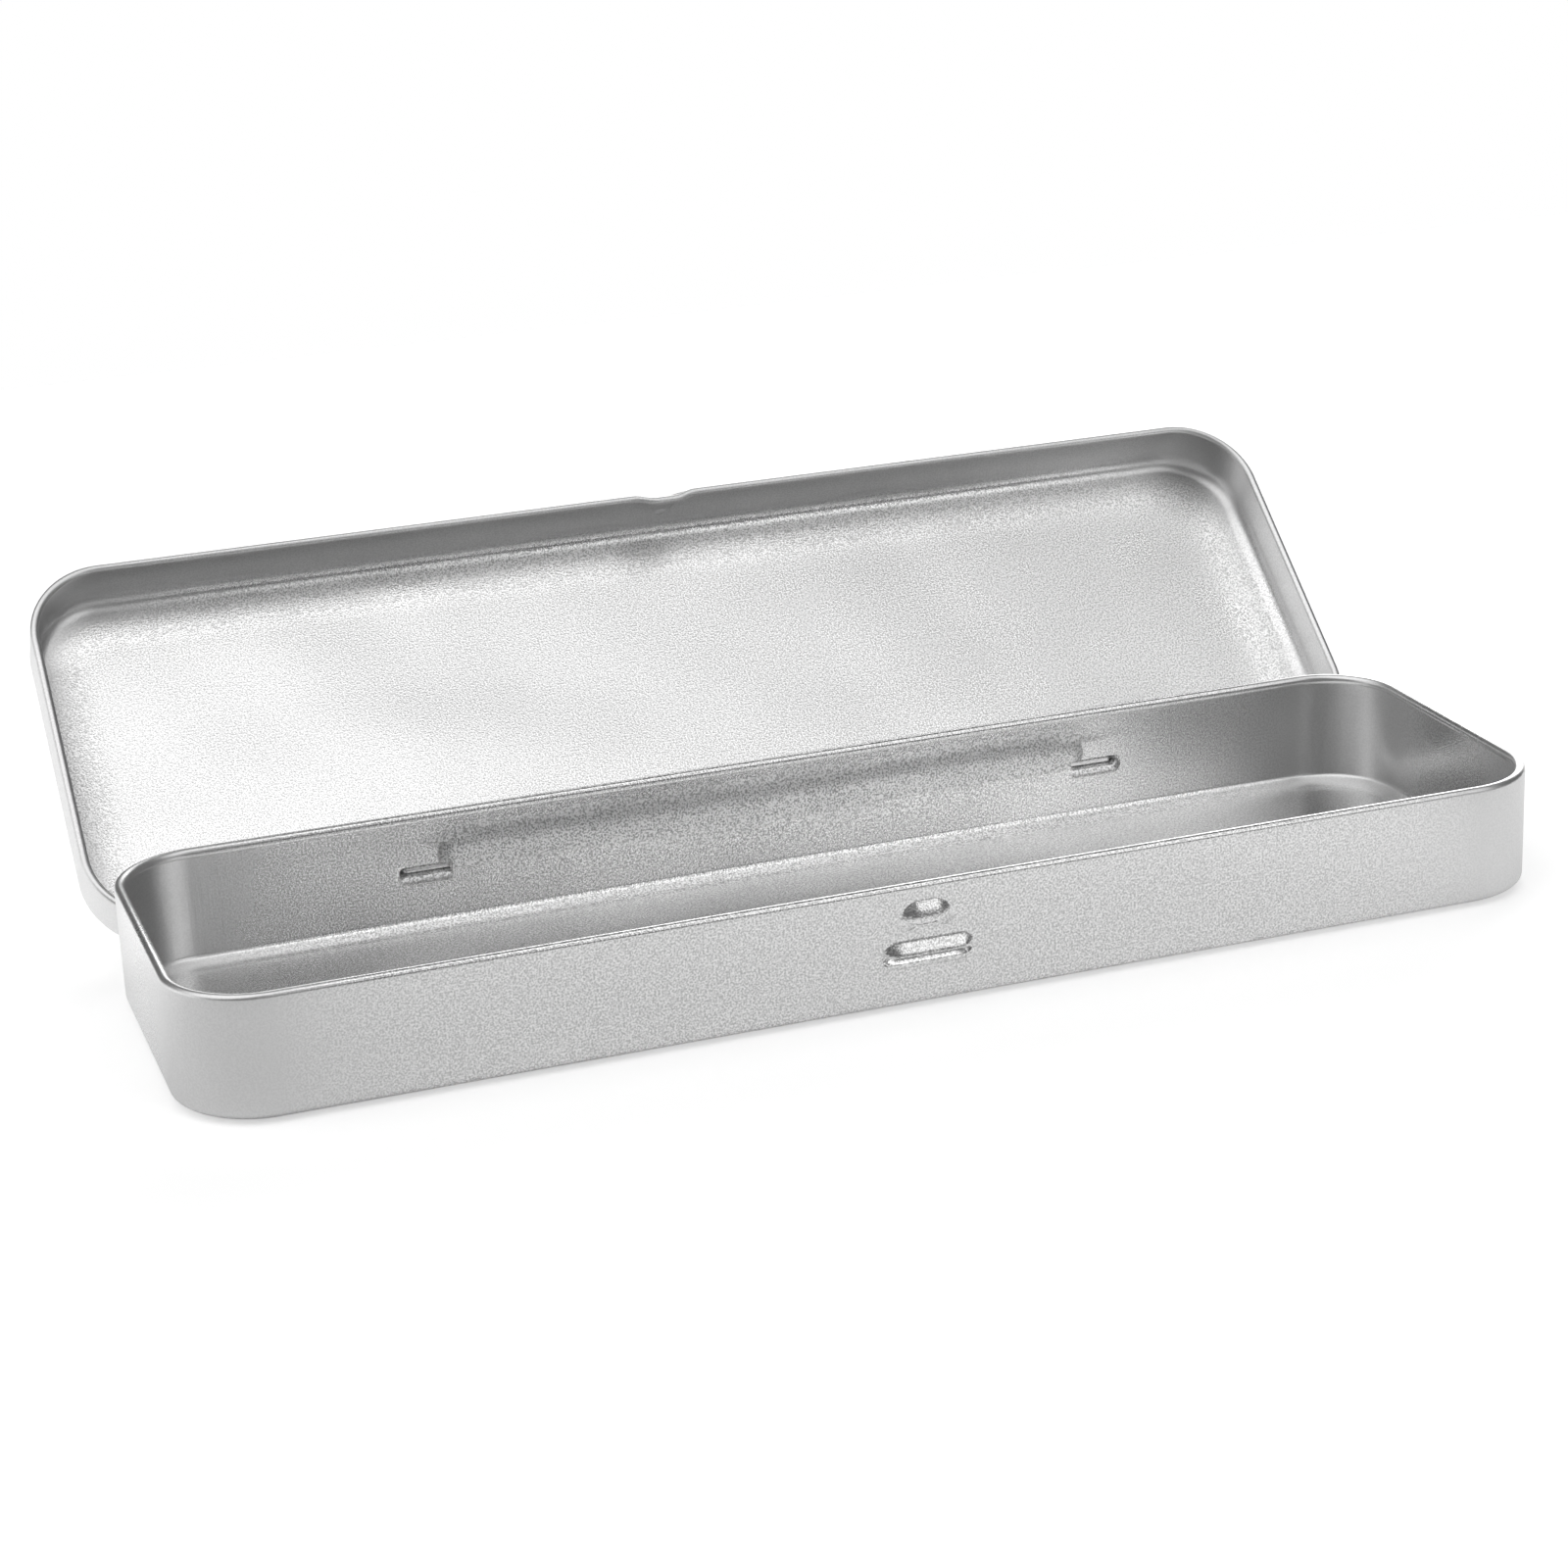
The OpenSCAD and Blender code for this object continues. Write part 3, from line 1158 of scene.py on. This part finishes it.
    def lug(self, sense: int) -> bpy.types.Object:
        """Curls a lug round its pin.

        It starts from a blank, of which only the edge at the lug's foot stays.

        Args:
            sense: 1 for the right lug, -1 for the left one.

        Returns:
            The lug's object.
        """
        (y, z), blank = self.pin, 1.0
        start = self.lug_x if sense > 0 else -self.lug_x - self.lug_length
        foot = (start, y + self.lug_r, self.rim_z + self.lug_foot)
        bench = Bench(f"{self.name}_lug", (self.lug_length, blank), foot)
        bench.pick(Kind.VERTS, lambda v: v.co.y > (foot[1] + blank / 2) * MM)
        bpy.ops.mesh.delete(type="VERT")
        bench.pick(Kind.EDGES, lambda e: True)
        bench.extrude((0, 0, z - self.rim_z - self.lug_foot))
        bench.spin((0, y, z), Axis.X, -self.lug_curl, self.lug_steps)
        bench.weld()
        bench.face_out(-Axis.Y.unit)
        bpy.ops.mesh.select_all(action="SELECT")
        bpy.ops.mesh.flip_normals()
        obj = bench.close()
        apply(obj, "SOLIDIFY", thickness=self.sheet * MM, offset=-1.0)
        bpy.ops.object.shade_smooth_by_angle(angle=math.radians(SHARP_EDGE))
        return obj

    def build(self) -> bpy.types.Object:
        """Builds the lid at its open stop.

        Returns:
            The lid's object.
        """
        self.draw()
        flip = Matrix.Rotation(math.pi, 4, "X")
        shut = Matrix.Translation(Vector((0, self.middle_y, self.rim_z + self.depth)) * MM)
        settle(self.bench.close(), shut @ flip)
        self.bench.open()
        self.press_nib()
        self.press_dent()
        self.divide_runs()
        lid = self.thicken()
        join(lid, [self.lug(-1), self.lug(1)])
        self.open_up(lid)
        return lid


@dataclass(frozen=True)
class HingePins:
    """The two hinge pins, kept as they are."""

    nodes: tuple[str, str] = ("left_hinge_pin", "right_hinge_pin")
    finish: HingeWire = HingeWire()

    def dress(self) -> None:
        """Gives the pins a new finish."""
        wire = self.finish.material()
        for node in self.nodes:
            coat(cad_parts[node], wire)
            log.info("%s: kept, with a new finish", node)


@dataclass(frozen=True)
class SoftBox:
    """A soft patch of light in the room round the tin.

    Azimuth 0 is in front and 90 to the right. The light is full inside the inner angle from its
    middle and fades out to the outer one, all in degrees.
    """

    azimuth: float
    elevation: float
    inner: float
    outer: float
    strength: float

    @property
    def direction(self) -> Vector:
        """The unit vector towards its middle."""
        a, e = math.radians(self.azimuth), math.radians(self.elevation)
        return Vector((math.cos(e) * math.sin(a), -math.cos(e) * math.cos(a), math.sin(e)))

    @property
    def fade(self) -> tuple[float, float]:
        """The cosines of the outer and the inner angle."""
        return math.cos(math.radians(self.outer)), math.cos(math.radians(self.inner))


@dataclass
class Room:
    """The pale floor and the soft light of the studio.

    The floor's sizes are in metres. In the tin's reflections the floor glows, a painted
    reflection with painted shade to the left and front: the glow goes from the left value to
    the right one over the span along X, and to the rear one over the span along Y.
    """

    fill: float = 0.14
    floor_size: float = 0.8
    floor_colour: float = 0.8
    floor_lift: float = 0.45
    # The painted reflection of the floor in the tin: its glow, darker as painted shade to the
    # left and front.
    left_painted_glow: float = 0.06
    right_painted_glow: float = 0.45
    rear_painted_glow: float = 0.5
    gloss_x: tuple[float, float] = (-0.2, 0.35)
    gloss_y: tuple[float, float] = (-0.03, 0.06)
    boxes: tuple[SoftBox, ...] = (
        SoftBox(255, -12, 24, 46, 1.09),
        SoftBox(30, 30, 8, 22, 1.10),
        SoftBox(150, 20, 10, 30, 1.8),
        SoftBox(45, 62, 8, 22, 1.09),
        SoftBox(150, 10, 14, 30, 1.72),
        SoftBox(285, 62, 24, 46, 1.21),
    )

    def light(self) -> None:
        """Lights the room from its world, which the camera sees as white."""
        world = bpy.data.worlds.new("room")
        bpy.context.scene.world = world
        world.use_nodes = True
        graph = Graph(world.node_tree)
        look = graph.add("TexCoord").outputs["Generated"]
        total: object = self.fill
        for box in self.boxes:
            dot = graph.add("VectorMath", look, box.direction, operation="DOT_PRODUCT")
            patch = graph.ramp(dot.outputs["Value"], box.fade, 0, box.strength, smooth=True)
            total = graph.math("ADD", total, patch)
        seen = graph.add("LightPath").outputs["Is Camera Ray"]
        strength = graph.add("Mix", seen, None, total, 1.0, data_type="FLOAT")
        background = world.node_tree.nodes["Background"]
        background.inputs["Color"].default_value = (1, 1, 1, 1)
        graph.feed(background.inputs["Strength"], strength.outputs[0])

    def lay_floor(self) -> None:
        """Lays the floor, white to the camera and, in the tin, a painted reflection dimmer to the
        left and front, with the tin's shadow.
        """
        bpy.ops.mesh.primitive_plane_add(size=self.floor_size)
        floor = bpy.context.object
        floor.name = "floor"
        material = bpy.data.materials.new("floor")
        material.use_nodes = True
        graph = Graph(material.node_tree)
        shader = material.node_tree.nodes["Principled BSDF"]
        shader.inputs["Base Color"].default_value = (self.floor_colour,) * 3 + (1,)
        shader.inputs["Roughness"].default_value = 1.0
        shader.inputs["Specular IOR Level"].default_value = 0.0
        shader.inputs["Emission Color"].default_value = (1, 1, 1, 1)
        rays = graph.add("LightPath").outputs
        # A painted reflection: the floor glows only in the tin, dimmer to the left and front as
        # painted shade.
        mirrored = graph.math("MAXIMUM", rays["Is Glossy Ray"], rays["Is Transmission Ray"])
        place = graph.add("SeparateXYZ", graph.add("TexCoord").outputs["Object"]).outputs
        gloss = graph.ramp(place["X"], self.gloss_x, self.left_painted_glow, self.right_painted_glow)
        gloss = graph.ramp(place["Y"], self.gloss_y, gloss, self.rear_painted_glow, smooth=True)
        lift = graph.math("MULTIPLY", mirrored, gloss)
        lift = graph.math("MULTIPLY_ADD", rays["Is Camera Ray"], self.floor_lift, lift)
        graph.feed(shader.inputs["Emission Strength"], lift)
        coat(floor, material)

    def build(self) -> None:
        """Makes the room."""
        self.light()
        self.lay_floor()


@dataclass(frozen=True)
class Viewpoint:
    """The camera.

    Azimuth 0 is in front, angles are in degrees, and lengths in millimetres, apart from
    clip_start, which is in metres.
    """

    azimuth: float = -18.742
    elevation: float = 19.472
    roll: float = -2.512
    lens: float = 80.025
    sensor: float = 36.0
    clip_start: float = 0.01
    target: Point = (-3.95, 8.95, 19.57)
    distance: float = 470.0

    def build(self) -> None:
        """Makes the camera and gives it to the scene."""
        a, e = math.radians(self.azimuth), math.radians(self.elevation)
        back = Vector((math.sin(a) * math.cos(e), -math.cos(a) * math.cos(e), math.sin(e)))
        turn = (Matrix.Rotation(a, 4, "Z") @ Matrix.Rotation(math.pi / 2 - e, 4, "X")
                @ Matrix.Rotation(math.radians(self.roll), 4, "Z"))
        camera = bpy.data.cameras.new("camera")
        camera.lens, camera.sensor_width = self.lens, self.sensor
        camera.clip_start = self.clip_start
        place = (Vector(self.target) + back * self.distance) * MM
        obj = bpy.data.objects.new("camera", camera)
        obj.matrix_world = Matrix.Translation(place) @ turn
        bpy.context.scene.collection.objects.link(obj)
        bpy.context.scene.camera = obj


def main() -> None:
    """Builds the tin, its finishes, the room and the camera."""
    logging.basicConfig(level=logging.INFO, format="%(name)s: %(message)s")
    for pan in (Tray(), Lid()):
        obj = pan.build()
        pan.dress(obj)
        log.info("%s: %d faces", obj.name, len(obj.data.polygons))
    HingePins().dress()
    Room().build()
    Viewpoint().build()
    bpy.context.scene.view_settings.view_transform = "Standard"


if __name__ == "__main__":
    main()
